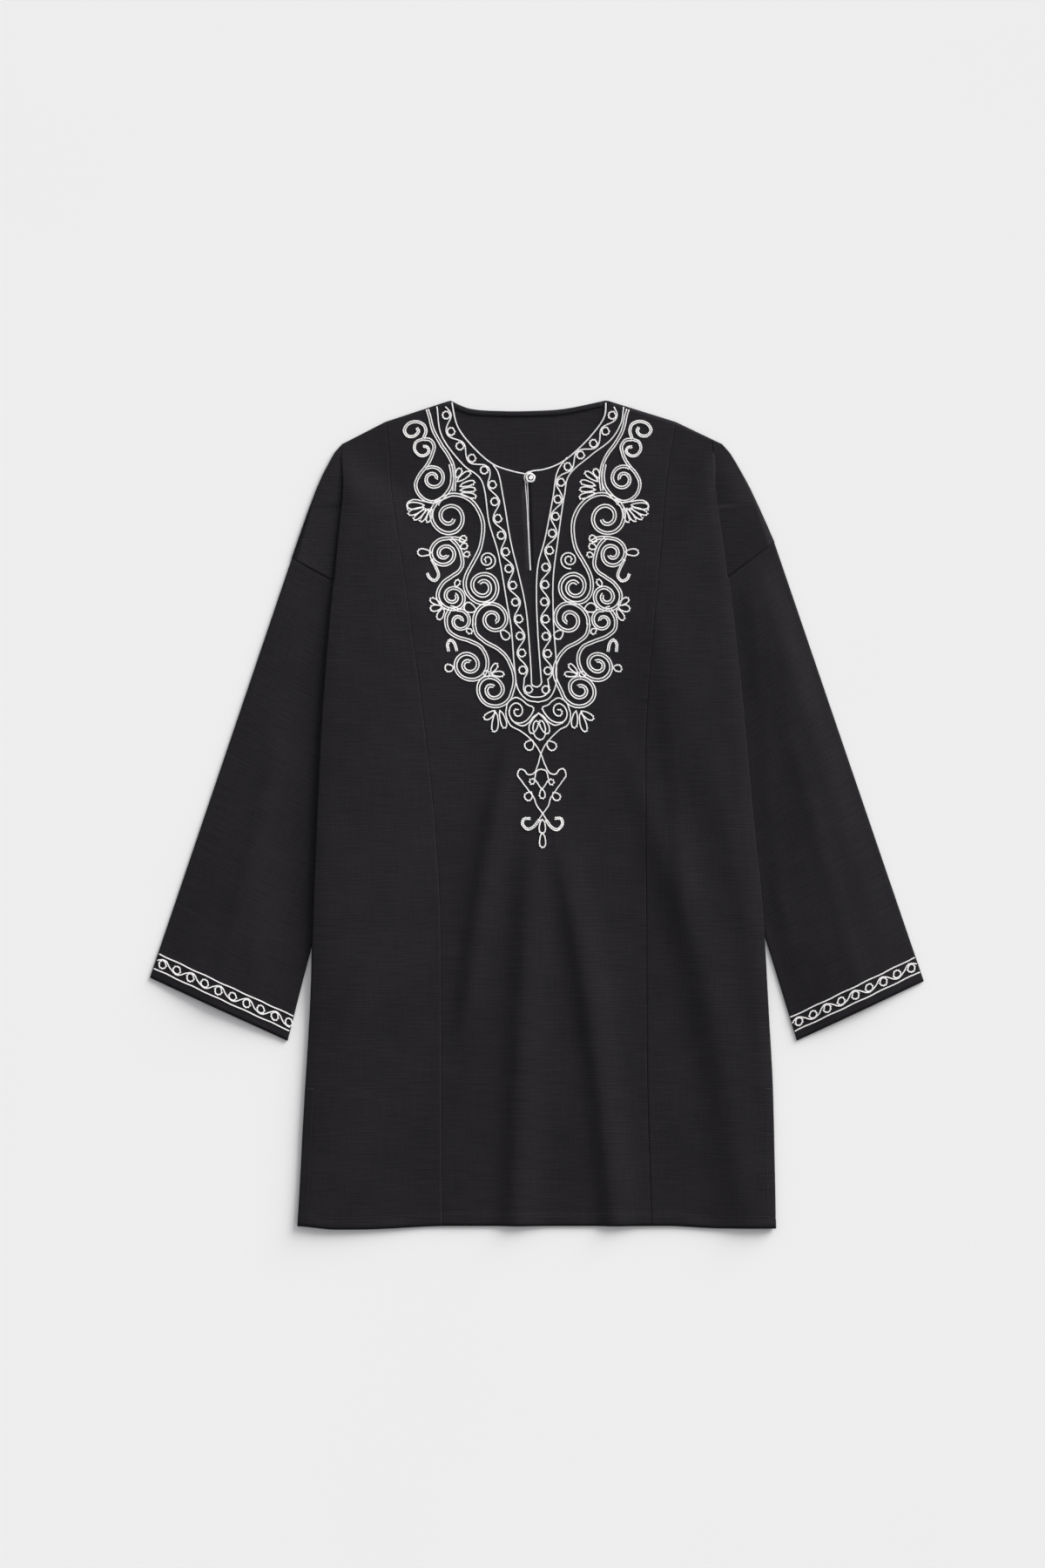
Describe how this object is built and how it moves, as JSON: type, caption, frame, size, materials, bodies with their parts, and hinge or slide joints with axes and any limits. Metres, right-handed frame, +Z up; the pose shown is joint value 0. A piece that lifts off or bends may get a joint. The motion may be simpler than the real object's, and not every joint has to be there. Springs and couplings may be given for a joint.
{
  "type": "kurta tunic laid flat",
  "caption": "Straight kurta tunic laid flat, front up, with a round neck, a buttoned slit, princess seams, dropped straight sleeves, side vents and white chain-stitch scrollwork.",
  "frame": {"origin": "centre of the laid garment's footprint, on the surface it lies on", "axes": "+Z up out of the front, +Y from hem to neck, +X towards the wearer's left sleeve"},
  "size_m": [0.8352, 0.8942, 0.0108],
  "materials": {
    "tunic_cloth": "plain-woven slubbed cotton and linen, near black",
    "white_cord": "twisted white cotton cord",
    "white_thread": "white embroidery thread with a soft lustre"
  },
  "bodies": {
    "root": {"back": "tunic_cloth", "sleeve_right": "tunic_cloth", "sleeve_left": "tunic_cloth", "front_side_right": "tunic_cloth", "front_side_left": "tunic_cloth", "front_center": "tunic_cloth", "back_neck_binding": "tunic_cloth", "neck_cord_right": "white_cord", "neck_cord_left": "white_cord", "slit_cord_right": "white_cord", "slit_cord_left": "white_cord", "button": "white_thread", "button_loop": "white_thread"}
  },
  "joints": []
}
